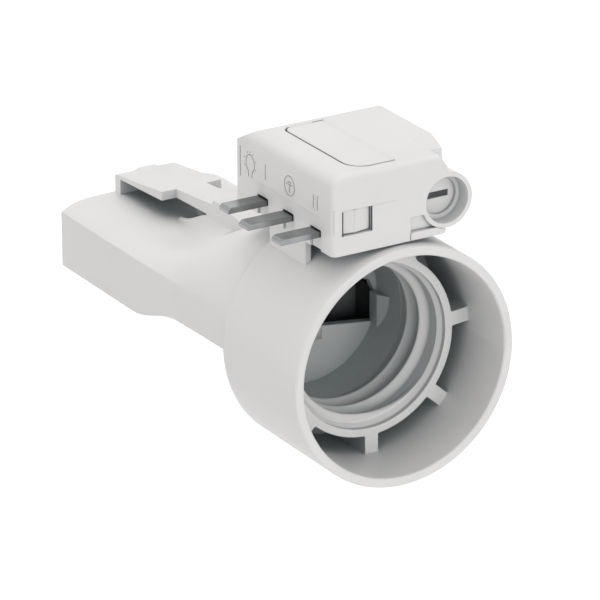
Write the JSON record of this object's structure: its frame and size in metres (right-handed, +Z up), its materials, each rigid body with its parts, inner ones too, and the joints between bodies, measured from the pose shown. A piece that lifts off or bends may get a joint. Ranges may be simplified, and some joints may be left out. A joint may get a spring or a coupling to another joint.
{
  "type": "lamp holder",
  "caption": "Screw lamp holder with its axis level, a flat-pin plug on its back, a hollow arm and a T-shaped hanging hook.",
  "frame": {"origin": "centre of the shroud's rim, on the lamp's axis", "axes": "+X along the lamp's axis, out of the mouth; the plug's pins point along -Y; +Z up, the plug above the shroud"},
  "size_m": [0.0753, 0.0404, 0.0534],
  "materials": {
    "white_plastic": "satin",
    "grey_plastic": "satin",
    "plated_brass": "polished",
    "brass": "satin",
    "zinc_steel": "satin",
    "spring_metal": "satin"
  },
  "bodies": {
    "holder": {"housing": "white_plastic", "plug_cover": "white_plastic", "plug_base": "white_plastic", "lock_ring": "white_plastic", "arm_lid": "white_plastic", "contact_carrier": "grey_plastic", "line_pin": "plated_brass", "earth_pin": "plated_brass", "neutral_pin": "plated_brass", "line_clamp": "brass", "earth_clamp": "brass", "neutral_clamp": "brass", "clamp_screws": "zinc_steel", "line_strip": "spring_metal", "neutral_strip": "spring_metal", "centre_contact": "spring_metal", "side_contact": "spring_metal", "carrier_screws": "zinc_steel", "lid_screws": "zinc_steel"},
    "tongue": {"release_tongue": "white_plastic"},
    "spindle": {"lock_spindle": "white_plastic"}
  },
  "joints": [
    {"name": "tongue_press", "type": "hinge", "parent": "holder", "child": "tongue", "pos_m": [-0.01425, 0, 0.0334], "axis": [1, 0, 0], "range_deg": [0, 6], "stiffness_Nm_per_rad": 0.05},
    {"name": "lock_turn", "type": "hinge", "parent": "holder", "child": "spindle", "pos_m": [-0.0046, 0.00845, 0.0258], "axis": [1, 0, 0], "range_deg": [0, 90]}
  ]
}
